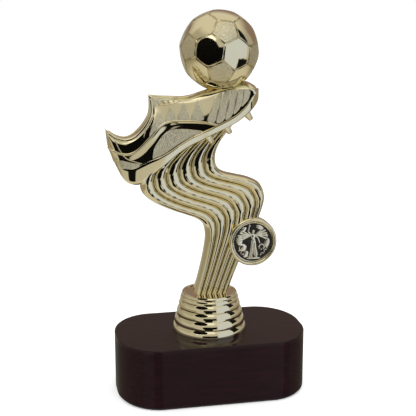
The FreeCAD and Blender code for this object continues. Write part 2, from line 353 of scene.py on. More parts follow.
def turned_ball(form):
    """Turn the ball so that a seam between two six-sided panels faces the front, a little raised."""
    view = Vector((math.sin(ball_turn), -math.cos(ball_turn), ball_raise)).normalized()
    seam = min(form.edges, key=lambda e: (len(e.link_faces[0].verts) + len(e.link_faces[1].verts) != 12,
                                          e.index))
    middle = (seam.verts[0].co + seam.verts[1].co).normalized()
    along = (seam.verts[1].co - seam.verts[0].co).normalized()
    upright = Vector((math.sin(ball_tip), 0, math.cos(ball_tip)))
    upright = (upright - view * upright.dot(view)).normalized()
    from_frame = Matrix((middle, along, middle.cross(along))).transposed()
    to_frame = Matrix((view, upright, view.cross(upright))).transposed()
    turn = to_frame @ from_frame.inverted()
    bmesh.ops.transform(form, matrix=turn.to_4x4(), verts=form.verts)


def distance_to_seam(point, start, end):
    span = end - start
    share = max(0.0, min(1.0, (point - start).dot(span) / span.length_squared))
    return (point - start - span * share).length


ball = bmesh.new()
bmesh.ops.create_icosphere(ball, subdivisions=1, radius=1.0)
third = ball.edges[:][0].calc_length() / 3
bmesh.ops.bevel(ball, geom=ball.verts[:], offset=third, offset_type="OFFSET", affect="VERTICES",
                segments=1, profile=0.5, material=-1)
ball.edges.ensure_lookup_table()
ball.edges.index_update()
turned_ball(ball)
bmesh.ops.recalc_face_normals(ball, faces=ball.faces)
seams = [(edge.verts[0].co.normalized(), edge.verts[1].co.normalized()) for edge in ball.edges]
five_sided = [face for face in ball.faces if len(face.verts) == 5]
for face in five_sided:
    face.material_index = 1
panels = ball.faces[:]
panel_planes = [(face.normal.copy(), face.normal.dot(face.verts[0].co.normalized())) for face in panels]
bmesh.ops.inset_individual(ball, faces=panels, thickness=seam_half_width, use_even_offset=True)
rims = [face for face in ball.faces if face not in set(panels)]
# the rims take the darker seam gold, a painted shade along the seams
for face in rims:
    face.material_index = 2
bmesh.ops.poke(ball, faces=panels)
bmesh.ops.subdivide_edges(ball, edges=ball.edges[:], cuts=6, use_grid_fill=True)
for vert in ball.verts:
    direction = vert.co.normalized()
    near = min(distance_to_seam(direction, start, end) for start, end in seams)
    share = min(1.0, near / seam_half_width)
    flat = min(reach / direction.dot(normal) for normal, reach in panel_planes
               if direction.dot(normal) > 0.5)
    radius = 1 - panel_flatness + panel_flatness * flat
    vert.co = direction * (radius - seam_depth * (1 - share ** 0.8) ** 1.3)
widest = max(vert.co.length for vert in ball.verts)
bmesh.ops.scale(ball, vec=(ball_radius / widest,) * 3, verts=ball.verts)
bmesh.ops.translate(ball, vec=ball_centre, verts=ball.verts)
# the darker gold for the seams is painted shade
seam_painted_shade = shaded_seam_gold()
for name, node, side in (("ball_front", "ball_front_half", -1), ("ball_rear", "ball_rear_half", 1)):
    half = ball.copy()
    bmesh.ops.bisect_plane(half, geom=half.verts[:] + half.edges[:] + half.faces[:], dist=1e-5,
                           plane_co=(0, side * parting_gap, 0), plane_no=(0, side, 0), clear_inner=True)
    bmesh.ops.holes_fill(half, edges=[edge for edge in half.edges if edge.is_boundary], sides=0)
    bmesh.ops.recalc_face_normals(half, faces=half.faces)
    sharpen_edges(half, 48)
    finished(half, name, [gold, stippled, seam_painted_shade], "gold_plastic", node)
ball.free()


# --- Ribbed column ------------------------------------------------------------------------
# Six round ribs side by side that rise from the riser, turn at an elbow, sweep to the
# left and turn up again under the sole. Each half of the moulding has its own face.
# the column's two outer edges, in pairs of points from the foot up into the sole
column_edges = [
    ((-10.0, 61.9), (10.4, 61.9)), ((-6.9, 73.0), (15.2, 74.5)), ((-4.6, 83.0), (20.8, 88.0)),
    ((-3.0, 92.5), (26.9, 101.0)), ((-2.6, 98.5), (31.6, 112.0)), ((-3.9, 105.1), (34.0, 121.5)),
    ((-8.2, 109.2), (31.2, 129.6)), ((-15.0, 112.1), (24.5, 133.6)), ((-24.0, 115.5), (16.5, 135.8)),
    ((-32.5, 119.6), (9.6, 137.6)), ((-38.5, 123.7), (5.2, 140.2)), ((-41.6, 127.6), (3.3, 144.8)),
    ((-42.4, 132.0), (3.9, 151.3)), ((-40.8, 136.6), (7.2, 158.0)), ((-37.0, 141.0), (12.6, 165.0)),
    ((-32.0, 145.4), (18.6, 172.0)), ((-27.0, 149.0), (24.0, 178.0)),
]
rib_count = 6
groove_depth_y = 4.3
rib_depth_y = 7.15
steps_between = 7
steps_across_rib = 12
sweep_start_z = 96
sweep_fade = 20
wobble_height = 0.15            # the plating's unevenness on the sweep


def smooth_line(points, steps):
    """A curve through chosen points, with the same number of steps on every span."""
    chosen = [Vector(point) for point in points]
    ends = [chosen[0] * 2 - chosen[1]] + chosen + [chosen[-1] * 2 - chosen[-2]]
    line = []
    for number in range(1, len(ends) - 2):
        a, b, c, d = ends[number - 1:number + 3]
        for step in range(steps):
            t = step / steps
            line.append(0.5 * (2 * b + (c - a) * t + (2 * a - 5 * b + 4 * c - d) * t * t
                               + (3 * b - a - 3 * c + d) * t ** 3))
    return line + [chosen[-1]]


def grid_of(form, rows):
    """Add a sheet of faces to a form; rows are equal-length lists of points."""
    wide = len(rows[0])
    made = bmesh.ops.create_grid(form, x_segments=wide - 1, y_segments=len(rows) - 1, size=1.0)
    verts = made["verts"]
    for vert in verts:
        column = round((vert.co.x + 1) / 2 * (wide - 1))
        row = round((vert.co.y + 1) / 2 * (len(rows) - 1))
        vert.co = rows[row][column]
    return verts


def close_on_parting(form, verts):
    """Carry a sheet's rim back to the parting plane and close it there, to make a solid."""
    inside = set(verts)
    rim = [edge for edge in form.edges if edge.is_boundary and edge.verts[0] in inside]
    grown = bmesh.ops.extrude_edge_only(form, edges=rim)["geom"]
    back = [item for item in grown if isinstance(item, bmesh.types.BMVert)]
    back_edges = [item for item in grown if isinstance(item, bmesh.types.BMEdge)]
    for vert in back:
        vert.co.y = -parting_gap
    bmesh.ops.holes_fill(form, edges=back_edges, sides=0)


def rib_profile():
    """(share across the column, depth) over the six ribs; the outer flanks roll back to the parting."""
    crown = steps_across_rib / 2
    points = []
    for rib in range(rib_count):
        for step in range(steps_across_rib):
            turn = math.pi * step / steps_across_rib
            across = (rib + (1 - math.cos(turn)) / 2) / rib_count
            outer = (rib == 0 and step <= crown) or (rib == rib_count - 1 and step >= crown)
            valley = 0.0 if outer else groove_depth_y
            points.append((across, valley + (rib_depth_y - valley) * math.sin(turn)))
    return points + [(1.0, 0.0)]


def column_front():
    form = bmesh.new()
    left = smooth_line([edge[0] for edge in column_edges], steps_between)
    right_side = smooth_line([edge[1] for edge in column_edges], steps_between)
    rows = []
    for share, depth in rib_profile():
        row = []
        for low, high in zip(left, right_side):
            point = low.lerp(high, share)
            on_sweep = max(0.0, min(1.0, (point.y - sweep_start_z) / sweep_fade))
            ripple = noise.noise(Vector((point.x, point.y, share * 40)) * 0.45)
            wobble = wobble_height * on_sweep * ripple
            row.append(Vector((point.x, -max(parting_gap, depth + wobble), point.y)))
        rows.append(row)
    close_on_parting(form, grid_of(form, rows))
    bmesh.ops.recalc_face_normals(form, faces=form.faces)
    return form


# --- Boot --------------------------------------------------------------------------------
# The football boot, toe up to the right: an upper and a quarter panel that meet on a raised
# line, a sole band below them, studs, and matt patches and beads raised on the surface.
boot_turn = math.radians(38)
boot_heel = Vector((-62.0, 140.0))
wall_lean = 0.055


def eased(value, table):
    """A smooth curve through (position, value) pairs."""
    if value <= table[0][0]:
        return table[0][1]
    if value >= table[-1][0]:
        return table[-1][1]
    for number in range(len(table) - 1):
        if value <= table[number + 1][0]:
            break
    (x0, y0), (x1, y1) = table[number], table[number + 1]
    before = table[number - 1] if number else table[0]
    after = table[number + 2] if number + 2 < len(table) else table[-1]
    slope_0 = (y1 - before[1]) / (x1 - before[0])
    slope_1 = (after[1] - y0) / (after[0] - x0)
    width = x1 - x0
    t = (value - x0) / width
    return ((2 * t ** 3 - 3 * t ** 2 + 1) * y0 + (t ** 3 - 2 * t ** 2 + t) * width * slope_0
            + (3 * t ** 2 - 2 * t ** 3) * y1 + (t ** 3 - t ** 2) * width * slope_1)


heel_tab = (-62.2, 165.8)
tongue_corner = (-36.8, 185.4)
toe_tip = (30.0, 185.3)
collar_points = [heel_tab, (-58.4, 162.9), (-54.7, 161.2), (-50.6, 160.4), (-46.5, 161.9),
                 (-42.4, 165.2), (-38.9, 169.4), (-36.6, 174.2), (-36.2, 179.0), tongue_corner]
instep_points = [tongue_corner, (-31.0, 184.8), (-24.0, 184.4), (-17.5, 184.0), (-12.0, 184.6),
                 (-7.2, 186.0), (-2.0, 187.6), (4.0, 189.6), (11.0, 191.2), (17.5, 192.0),
                 (23.0, 191.8), (27.2, 189.6)]
heel_points = [(-50.4, 134.2), (-53.9, 138.0), (-56.5, 143.0), (-58.9, 149.0), (-61.0, 154.8),
               (-62.7, 161.0), heel_tab]


def half_width(x, z):
    """Half the boot's width, by the place along the sole and the height above it."""
    offset = Vector((x, z)) - boot_heel
    along = offset.x * math.cos(boot_turn) + offset.y * math.sin(boot_turn)
    up = offset.y * math.cos(boot_turn) - offset.x * math.sin(boot_turn)
    sole_line = eased(along, [(8, -15.7), (20, -18), (37, -17.9), (55, -20.9), (78, -25.3), (92, -24.7),
                              (101, -21)])
    plan = eased(along, [(5, 6.8), (15, 7.5), (30, 8.4), (45, 9.2), (60, 10.0), (76, 10.6), (88, 10.9),
                         (97, 11.0), (103, 11.0)])
    lean = eased(along, [(10, 0.15), (28, 0.2), (38, 0.35), (47, 0.95), (56, 1.0), (100, 1.0)])
    taper = eased(up - sole_line, [(0, 1.0), (7, 1.02), (12, 1.0), (18, 0.91), (26, 0.69), (34, 0.47),
                                   (42, 0.36)])
    return plan * (1 - (1 - taper) * lean) - wall_lean * max(0.0, up - sole_line)


silhouette = (smooth_line(heel_points, 4)[:-1] + smooth_line(collar_points, 4)[:-1]
              + smooth_line(instep_points, 4) + [Vector(toe_tip)])


def rounded_depth(x, z, round_over=3.8):
    """The boot's depth in front of the parting plane, rolled over towards its outline."""
    point = Vector((x, z))
    near = min(distance_to_seam(point, a, b) for a, b in zip(silhouette, silhouette[1:]))
    share = min(1.0, near / round_over)
    return half_width(x, z) * math.sqrt(max(0.0, 1 - (1 - share) ** 2))


def ruled_rows(low_line, high_line, shares, depth_at):
    """Rows of points from one line up to another; depth_at(x, z, share, height) gives each depth."""
    rows = []
    for share in shares:
        row = []
        for low, high in zip(low_line, high_line):
            point = low.lerp(high, share)
            depth = depth_at(point.x, point.y, share, (high - low).length)
            row.append(Vector((point.x, -max(parting_gap, depth), point.y)))
        rows.append(row)
    return rows


# the upper: from the raised line and the sole up to the collar, tongue and instep
upper_foot = [(-61.0, 154.8), (-57.5, 152.9), (-54.0, 151.6), (-49.5, 151.2), (-45.5, 152.7), (-42.0, 155.4),
              (-39.0, 158.6), (-36.0, 161.8), (-33.0, 165.2), (-29.5, 168.2), (-25.4, 169.8), (-20.0, 170.3),
              (-14.0, 170.2), (-8.0, 169.7), (-2.0, 168.6), (3.5, 167.4), (9.5, 170.0), (15.0, 173.4),
              (19.8, 178.0), (23.6, 183.6), (27.6, 187.6)]
steps = 6
foot_line = smooth_line(upper_foot, steps)
head_line = smooth_line(collar_points, steps)[:-1] + smooth_line(instep_points, steps)
shares = [1 - (1 - step / 36) ** 1.6 for step in range(37)]


def upper_front():
    form = bmesh.new()
    rows = ruled_rows(foot_line, head_line, shares, lambda x, z, share, height: rounded_depth(x, z))
    close_on_parting(form, grid_of(form, rows))
    return form


# the quarter panel: from the sole's edge up to the raised line, hollowed under it
quarter_foot = [(-58.0, 146.4), (-55.0, 143.4), (-51.0, 142.0), (-46.0, 142.4), (-41.0, 144.6),
                (-36.2, 147.0), (-31.4, 148.7), (-27.3, 150.9), (-23.2, 153.6), (-17.7, 157.2),
                (-11.5, 160.8), (-5.3, 163.6), (-1.5, 165.0), (1.2, 166.2), (2.6, 166.8), (3.5, 167.4)]
quarter_head = upper_foot[:16]
hollow_width = 4.5


def quarter_front():
    form = bmesh.new()
    low_line = smooth_line(quarter_foot, steps)
    high_line = smooth_line(quarter_head, steps)

    def hollowed(x, z, share, height):
        fall = min(1.0, (1 - share) * height / hollow_width)
        deepest = eased(x, [(-50, 0.3), (-36, 0.6), (-20, 0.75), (-5, 0.75), (4, 0.5)])
        return rounded_depth(x, z) - deepest * fall * fall * (3 - 2 * fall)
    rises = [1 - (1 - step / 24) ** 1.3 for step in range(25)]
    rows = ruled_rows(low_line, high_line, rises, hollowed)
    close_on_parting(form, grid_of(form, rows))
    return form


# the sole band: a smooth wall that wraps the bottom, deep at the heel and thin at the toe
sole_top = [(-58.3, 147.6), (-55.0, 144.2), (-51.0, 142.6), (-46.0, 143.0), (-41.0, 145.2), (-36.2, 147.4),
            (-31.4, 149.2), (-27.3, 151.4), (-23.2, 154.0), (-17.7, 157.7), (-11.5, 161.2), (-5.3, 163.9),
            (-0.4, 165.9), (4.4, 168.3), (10.0, 171.0), (15.0, 174.0), (19.5, 178.2), (23.2, 183.4),
            (26.6, 187.0), (28.6, 188.0)]
sole_bottom = [(-53.6, 137.6), (-51.5, 135.0), (-48.5, 133.2), (-45.6, 132.6), (-42.6, 132.8),
               (-39.6, 134.6), (-35.7, 138.0), (-31.5, 141.3), (-27.0, 144.9), (-21.0, 150.0),
               (-15.0, 154.2), (-9.0, 157.2), (-3.0, 160.2), (2.5, 162.7), (8.5, 165.4),
               (14.0, 168.2), (19.5, 172.0), (24.6, 176.6), (28.4, 181.2), (30.0, 185.3)]
band_step = 0.55
band_undercut = 0.135


def sole_front():
    form = bmesh.new()
    low_line = smooth_line(sole_bottom, steps)
    high_line = smooth_line(sole_top, steps)

    def wall(x, z, share, height):
        heel_round = eased(x, [(-59, 0.0), (-57.5, 0.45), (-54.5, 0.72), (-50, 0.93), (-45, 1.0), (22, 1.0),
                               (26, 0.85), (28.6, 0.55), (30, 0.0)])
        undercut = band_undercut * height * (1 - share)
        low_roll = 1.0 * max(0.0, 1 - share / 0.14) ** 2
        high_roll = band_step * max(0.0, 1 - (1 - share) / 0.12) ** 2
        return (half_width(x, z) + band_step - undercut - (low_roll + high_roll)) * heel_round
    rises = [(1 - math.cos(math.pi * step / 12)) / 2 for step in range(13)]
    rows = ruled_rows(low_line, high_line, rises, wall)
    close_on_parting(form, grid_of(form, rows))
    return form


# five moulded studs stand out of the sole band
stud_places = ((-40.5, 134.6), (-29.3, 143.4), (-2.5, 160.4), (8.5, 165.8), (21.0, 173.6))
stud_inset = 3.4
stud_length = 6.6


def add_studs(form):
    down = Vector((math.sin(boot_turn), 0, -math.cos(boot_turn)))
    for x, z in stud_places:
        root = Vector((x, stud_inset - half_width(x, z + 2), z))
        tilt = down.to_track_quat("Z", "Y").to_matrix().to_4x4()
        made = bmesh.ops.create_cone(form, cap_ends=True, segments=24, radius1=2.7, radius2=1.5,
                                     depth=stud_length,
                                     matrix=Matrix.Translation(root + down * 1.6) @ tilt)
        tip = [edge for vert in made["verts"] for edge in vert.link_edges
               if (edge.verts[0].co - root).dot(down) > 4 and (edge.verts[1].co - root).dot(down) > 4]
        bmesh.ops.bevel(form, geom=list(dict.fromkeys(tip)), offset=0.6, segments=3, profile=0.5,
                        affect="EDGES", material=-1)


def skin_at(skin, x, z, search_depth):
    """The point of the boot's surface in front of a place, and the way it faces there."""
    hit, normal = skin.ray_cast(Vector((x, -40, z)), Vector((0, 1, 0)))[:2]
    if hit is None:
        hit, normal = skin.find_nearest(Vector((x, -search_depth, z)))[:2]
    return hit, normal


patch_sink = 0.5
longest_patch_edge = 1.6


def add_patch(form, skin, outline, lift=0.3, steps=3, material_index=1):
    """A thin raised plate that lies on the boot's surface inside an outline."""
    line = smooth_line(list(outline) + [outline[0]], steps)[:-1]
    low = form.faces[:]
    verts = [form.verts.new((point.x, 0, point.y)) for point in line]
    face = form.faces.new(verts)
    made = bmesh.ops.triangulate(form, faces=[face])["faces"]
    for _ in range(4):
        long_edges = dict.fromkeys(edge for face in made for edge in face.edges
                                   if edge.calc_length() > longest_patch_edge)
        if not long_edges:
            break
        bmesh.ops.subdivide_edges(form, edges=list(long_edges), cuts=1)
        old = set(low)
        made = [face for face in form.faces if face not in old]
        bmesh.ops.triangulate(form, faces=[face for face in made if len(face.verts) > 3])
        made = [face for face in form.faces if face not in old]
    for vert in {vert for face in made for vert in face.verts}:
        hit, normal = skin_at(skin, vert.co.x, vert.co.z, 6)
        vert.co = hit + Vector((0, patch_sink, 0))
        vert.normal = normal
    raised = bmesh.ops.extrude_face_region(form, geom=made)["geom"]
    for vert in [item for item in raised if isinstance(item, bmesh.types.BMVert)]:
        vert.co.y -= patch_sink + lift
    old = set(low)
    fresh = [face for face in form.faces if face not in old]
    bmesh.ops.recalc_face_normals(form, faces=fresh)
    for face in fresh:
        face.material_index = material_index


def add_bead(form, skin, points, radius, sink=0.3, steps=5):
    """A fine raised line that follows the boot's surface through chosen points."""
    line = smooth_line(points, steps)
    path = []
    for point in line:
        hit, normal = skin_at(skin, point.x, point.y, 4)
        path.append((hit - Vector((0, -1, 0)) * radius * sink, normal))
    sides = 10
    rings = []
    for number, (centre, normal) in enumerate(path):
        ahead = path[min(number + 1, len(path) - 1)][0] - path[max(number - 1, 0)][0]
        forward = ahead.normalized()
        outward = (normal - forward * normal.dot(forward)).normalized()
        across = forward.cross(outward)
        slim = radius * (0.35 if number in (0, len(path) - 1) else 1.0)
        placed = Matrix((across, outward, -forward)).transposed().to_4x4()
        placed.translation = centre
        made = bmesh.ops.create_circle(form, segments=sides, radius=slim, matrix=placed)
        rings.append(made["verts"])
    hoops = [list(dict.fromkeys(edge for vert in ring for edge in vert.link_edges)) for ring in rings]
    for hoop, following in zip(hoops, hoops[1:]):
        bmesh.ops.bridge_loops(form, edges=hoop + following)
    for end in (rings[0], rings[-1]):
        bmesh.ops.contextual_create(form, geom=end)


matt_patches = [
    # the side panel
    [(-35.6, 148.4), (-34.6, 154.2), (-31.6, 159.3), (-28.8, 162.6), (-25.1, 164.9), (-17.6, 165.6),
     (-10.8, 164.9), (-5.9, 163.9), (-11.0, 161.6), (-17.7, 158.2), (-23.2, 154.7), (-27.3, 151.9),
     (-31.4, 149.7)],
    # the heel
    [(-57.0, 148.0), (-52.4, 147.4), (-46.3, 145.8), (-42.8, 145.6), (-44.0, 144.0), (-49.1, 142.6),
     (-54.0, 143.2), (-56.4, 145.2)],
    # the tongue's tab
    [(-35.4, 184.0), (-27.7, 183.4), (-19.9, 183.4), (-20.9, 182.6), (-27.7, 181.6), (-30.4, 180.4),
     (-33.9, 178.0), (-35.2, 181.0)],
]
matt_triangles = [
    [(-31.0, 175.0), (-28.0, 168.9), (-31.5, 166.9), (-37.0, 161.6), (-36.3, 165.6), (-33.3, 170.7)],
    [(-24.5, 178.5), (-21.3, 171.9), (-24.2, 170.9), (-27.8, 170.2), (-26.8, 174.5)],
    [(-17.0, 181.0), (-15.0, 177.4), (-13.8, 171.3), (-20.8, 171.5), (-18.6, 177.0)],
    [(-8.5, 182.8), (-6.8, 176.7), (-5.4, 170.9), (-13.2, 171.2), (-10.5, 176.8)],
]
forefoot_strips = [
    [(3.4, 185.0), (6.0, 186.6), (3.2, 177.0), (1.0, 169.4), (-3.2, 170.2), (0.4, 178.0)],
    [(7.2, 186.9), (10.2, 187.4), (8.6, 179.0), (6.3, 170.3), (2.2, 169.2), (4.6, 178.0)],
    [(11.2, 187.7), (14.2, 187.9), (13.2, 181.0), (11.3, 173.0), (7.4, 170.9), (9.6, 179.0)],
    [(15.1, 188.0), (17.8, 188.2), (17.6, 182.4), (15.9, 177.0), (12.4, 173.9), (14.2, 181.0)],
    [(18.8, 188.3), (21.5, 188.0), (22.3, 186.0), (20.8, 181.8), (17.2, 178.2), (18.4, 182.8)],
]
collar_line = [(-61.0, 164.0), (-58.0, 161.4), (-54.4, 159.9), (-50.4, 159.2), (-45.9, 160.6),
               (-41.6, 164.2), (-37.9, 168.8), (-35.4, 174.0), (-35.0, 179.0), (-35.3, 183.0)]
eyelet_line = [(-34.7, 177.8), (-30.6, 179.3), (-25.2, 179.6), (-18.4, 181.3), (-12.2, 182.8),
               (-4.6, 185.2), (2.3, 187.0)]
seam_lines = [
    [(-57.4, 160.0), (-54.6, 153.8), (-51.0, 148.9), (-45.6, 146.6), (-41.6, 145.4)],
    [(-33.7, 174.4), (-36.5, 169.4), (-39.2, 165.5), (-40.6, 161.0)],
    [(18.0, 188.6), (18.6, 184.0), (19.4, 180.0)],
]
lace_lines = [[(x, z), (x + 0.4, z - 1.4), (x + 1.3, z - 2.6)] for x, z in
              ((-31.4, 181.6), (-28.6, 182.4), (-25.8, 182.9), (-23.0, 183.4), (-20.0, 183.9))]
fine_strip_lines = [[(strip[0][0] - 0.6, strip[0][1] + 0.3), (strip[5][0] - 0.5, strip[5][1]),
                     (strip[4][0] - 0.5, strip[4][1] - 0.2)] for strip in forefoot_strips]


def join_into(form, other):
    """Move everything in one form into another."""
    mesh = bpy.data.meshes.new("joined")
    other.to_mesh(mesh)
    other.free()
    form.from_mesh(mesh)
    bpy.data.meshes.remove(mesh)


def figure_front():
    """The whole front moulding as one form, without the medal's cup."""
    form = bmesh.new()
    for part in (upper_front(), quarter_front(), sole_front()):
        bmesh.ops.recalc_face_normals(part, faces=part.faces)
        join_into(form, part)
    skin = BVHTree.FromBMesh(form)
    trim = bmesh.new()
    for outline in matt_patches:
        add_patch(trim, skin, outline)
    for outline in matt_triangles + forefoot_strips:
        add_patch(trim, skin, outline, steps=4)
    add_bead(trim, skin, quarter_head, 0.75)
    add_bead(trim, skin, collar_line, 1.25)
    add_bead(trim, skin, eyelet_line, 0.4)
    for line in seam_lines + fine_strip_lines:
        add_bead(trim, skin, line, 0.3)
    for line in lace_lines:
        add_bead(trim, skin, line, 0.5)
    add_studs(trim)
    bmesh.ops.recalc_face_normals(trim, faces=trim.faces)
    join_into(form, trim)
    join_into(form, column_front())
    return form


figure = figure_front()
rear = figure.copy()
bmesh.ops.scale(rear, vec=(1, -1, 1), verts=rear.verts)
bmesh.ops.reverse_faces(rear, faces=rear.faces)
sharpen_edges(figure, 42)
sharpen_edges(rear, 42)
finished(figure, "figure_front", [gold, stippled], "gold_plastic", "figure_front_half")
finished(rear, "figure_rear", [gold, stippled], "gold_plastic", "figure_rear_half")


# --- Medal cup and medal --------------------------------------------------------------------
# A round cup on the column's right edge, moulded with the front half, and the thin
# embossed medal taped into it: bright raised parts on a blackened ground.
medal_low, medal_high = [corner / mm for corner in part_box("medal_disc")]
medal_centre = Vector(((medal_low.x + medal_high.x) / 2, 0, (medal_low.z + medal_high.z) / 2))
cup_radius = 15.0
cup_bore = 12.95
cup_front = 8.2
cup_floor = 5.4


def lathe_on_medal_axis(profile, steps):
    """A solid of revolution about the medal's axis from (radius, distance forward) pairs."""
    form = spun(profile, steps)
    bmesh.ops.rotate(form, matrix=Matrix.Rotation(math.pi / 2, 3, "X"), verts=form.verts)
    bmesh.ops.translate(form, vec=medal_centre, verts=form.verts)
    return form


cup = lathe_on_medal_axis([(0.01, parting_gap), (cup_radius - 0.3, parting_gap), (cup_radius, 0.4),
                           (cup_radius, cup_front - 0.9), (cup_radius - 0.25, cup_front - 0.25),
                           (cup_radius - 0.8, cup_front), (cup_bore + 0.45, cup_front - 0.05),
                           (cup_bore, cup_front - 0.45), (cup_bore, cup_floor), (0.01, cup_floor)], 128)
sharpen_edges(cup, 50)
finished(cup, "medal_cup", [gold], "gold_plastic", "figure_front_half")


def embossed_silver():
    material, tree, shader, place = new_material("embossed_silver")
    tone = noise_on(tree, place, 900, 3.0)
    tree.links.new(ramp_on(tree, tone, [(0.3, (0.84, 0.79, 0.63)), (0.7, (0.95, 0.90, 0.74))]),
                   shader.inputs["Base Color"])
    shader.inputs["Metallic"].default_value = 1.0
    shader.inputs["Roughness"].default_value = 0.2
    bump_on(tree, shader, tone, 0.0001, 0.4)
    return material


def blackened_ground():
    material, tree, shader, place = new_material("blackened_ground")
    tone = noise_on(tree, place, 1500, 3.0)
    tree.links.new(ramp_on(tree, tone, [(0.35, (0.004, 0.004, 0.003)), (0.7, (0.028, 0.025, 0.02))]),
                   shader.inputs["Base Color"])
    shader.inputs["Roughness"].default_value = 0.55
    shader.inputs["Specular IOR Level"].default_value = 0.2
    bump_on(tree, shader, tone, 0.0002)
    return material


medal_back = -medal_high.y
medal_thickness = 1.0
medal_face = medal_back + medal_thickness
medal_radius = (medal_high.x - medal_low.x) / 2
rim_width = 0.55
disc = lathe_on_medal_axis([(0.01, medal_back), (medal_radius, medal_back),
                            (medal_radius, medal_face + 0.35), (medal_radius - 0.15, medal_face + 0.5),
                            (medal_radius - rim_width + 0.1, medal_face + 0.4),
                            (medal_radius - rim_width, medal_face), (0.01, medal_face)], 128)
for face in disc.faces:
    face.material_index = 1
    if (face.calc_center_median() - medal_centre).xz.length > medal_radius - rim_width - 0.01:
        face.material_index = 0


def swell(relief, place, size, lean=0.0):
    """One rounded lump of the embossing: a flattened egg, leaned over by some degrees."""
    turn = Matrix.Translation((place[0], place[1], 0)) @ Matrix.Rotation(math.radians(lean), 4, "Z")
    bmesh.ops.create_uvsphere(relief, u_segments=14, v_segments=8, radius=1.0,
                              matrix=turn @ Matrix.Diagonal((size[0], size[1], size[2], 1)))


def limb(relief, start, end, thick, thin):
    """An arm, leg, fold or feather: a tapered bar with rounded ends."""
    begin, finish = Vector((*start, 0)), Vector((*end, 0))
    span = finish - begin
    tilt = span.to_track_quat("Z", "Y").to_matrix().to_4x4()
    bmesh.ops.create_cone(relief, cap_ends=True, segments=12, radius1=thick, radius2=thin, depth=span.length,
                          matrix=Matrix.Translation((begin + finish) / 2) @ tilt)
    swell(relief, start, (thick, thick, thick))
    swell(relief, end, (thin, thin, thin))


def leaf(relief, reach, angle, number):
    """One laurel leaf, leaning in or out of its spray by turns."""
    lean = math.degrees(angle) + (35 if number % 2 else -35)
    swell(relief, (reach * math.cos(angle), reach * math.sin(angle)), (0.95, 0.36, 0.5), lean)


# a standing figure of victory in a long robe, torch held up, wings spread, between a ball
# and laurel sprays; the head is turned to the side and plainly rounded
relief = bmesh.new()
swell(relief, (0.2, 6.3), (0.85, 1.15, 0.8))
swell(relief, (0.35, 6.9), (1.0, 0.75, 0.8), -15)
limb(relief, (0.2, 5.4), (0.2, 4.8), 0.45, 0.5)
swell(relief, (0.3, 3.4), (1.55, 1.9, 1.1))
swell(relief, (0.4, 0.7), (1.35, 1.8, 1.1))
limb(relief, (-0.2, 0.2), (-1.0, -9.6), 1.0, 0.75)
limb(relief, (1.0, 0.2), (2.3, -9.6), 0.95, 0.7)
for start, end in (((0.3, -0.6), (0.2, -7.8)), ((0.8, -1.5), (1.0, -9.2)), ((-0.6, 1.2), (1.6, -2.6)),
                   ((-0.9, -2.0), (0.6, -5.4)), ((1.9, -3.0), (3.2, -8.6)), ((-1.2, -4.0), (-2.1, -9.0))):
    limb(relief, start, end, 0.34, 0.22)
for start, end, thick, thin in (((-1.0, 4.5), (-2.9, 6.5), 0.55, 0.48),
                                ((-2.9, 6.5), (-2.5, 8.8), 0.46, 0.4),
                                ((-2.7, 8.2), (-2.2, 10.0), 0.28, 0.4),
                                ((1.5, 4.4), (3.3, 2.2), 0.52, 0.45),
                                ((3.3, 2.2), (4.4, -0.8), 0.44, 0.36)):
    limb(relief, start, end, thick, thin)
swell(relief, (-2.1, 10.3), (0.55, 0.85, 0.6), 10)
for reach, height in ((6.2, 8.3), (7.6, 6.9), (8.4, 5.3), (8.6, 3.6), (8.0, 2.0)):
    limb(relief, (1.8, 4.6), (reach, height), 0.35, 0.55)
    limb(relief, (-1.4, 4.0), (-reach - 0.4, height - 1.0), 0.35, 0.55)
swell(relief, (-6.3, -3.4), (2.5, 2.5, 0.9))
for turn in range(5):
    angle = math.tau * turn / 5
    limb(relief, (-6.3, -3.4), (-6.3 + 2.2 * math.cos(angle), -3.4 + 2.2 * math.sin(angle)), 0.95, 0.3)
for number in range(11):
    angle = math.radians(-58 + 8.5 * number)
    leaf(relief, 9.6, angle, number)
    across, along = math.cos(6.5 * angle), math.sin(6.5 * angle)
    limb(relief, (5.6 + 1.5 * across, -3.4 + 1.5 * along), (5.6 + 1.9 * across, -3.4 + 1.9 * along),
         0.42, 0.3)
for number in range(7):
    angle = math.radians(212 + 9 * number)
    leaf(relief, 9.8, angle, number)
swell(relief, (0.4, -10.4), (4.6, 0.55, 0.5))
for place, size, lean in (((-8.6, 1.6), (2.0, 3.4, 0.35), 12), ((-4.4, -7.6), (1.5, 2.2, 0.35), -25),
                          ((8.9, -1.0), (1.7, 3.0, 0.35), -8), ((4.3, 9.0), (2.6, 1.2, 0.35), -28),
                          ((-6.0, 7.9), (2.2, 1.2, 0.35), 38)):
    swell(relief, place, size, lean)
bmesh.ops.scale(relief, vec=(1, 1, 0.6), verts=relief.verts)
bmesh.ops.translate(relief, vec=(0, 0, medal_face), verts=relief.verts)
bmesh.ops.rotate(relief, matrix=Matrix.Rotation(math.pi / 2, 3, "X"), verts=relief.verts)
bmesh.ops.translate(relief, vec=medal_centre, verts=relief.verts)
join_into(disc, relief)
sharpen_edges(disc, 45)
finished(disc, "medal", [embossed_silver(), blackened_ground()], "silvered_medal", "medal_disc")


# --- Floor, light and camera ----------------------------------------------------------------
# A pale table, a light tent that is bright behind and at the sides and open towards the
# camera, and the camera, a little to the left of the front and above it. The tent shows
# only in gloss: the camera and matt surfaces see plain white.
camera_azimuth = math.radians(-11.66)
camera_elevation = math.radians(13.5)
camera_distance = 588.9 * mm
camera_lens = 83.5
target_right = -0.8 * mm
target_height = 115.165 * mm

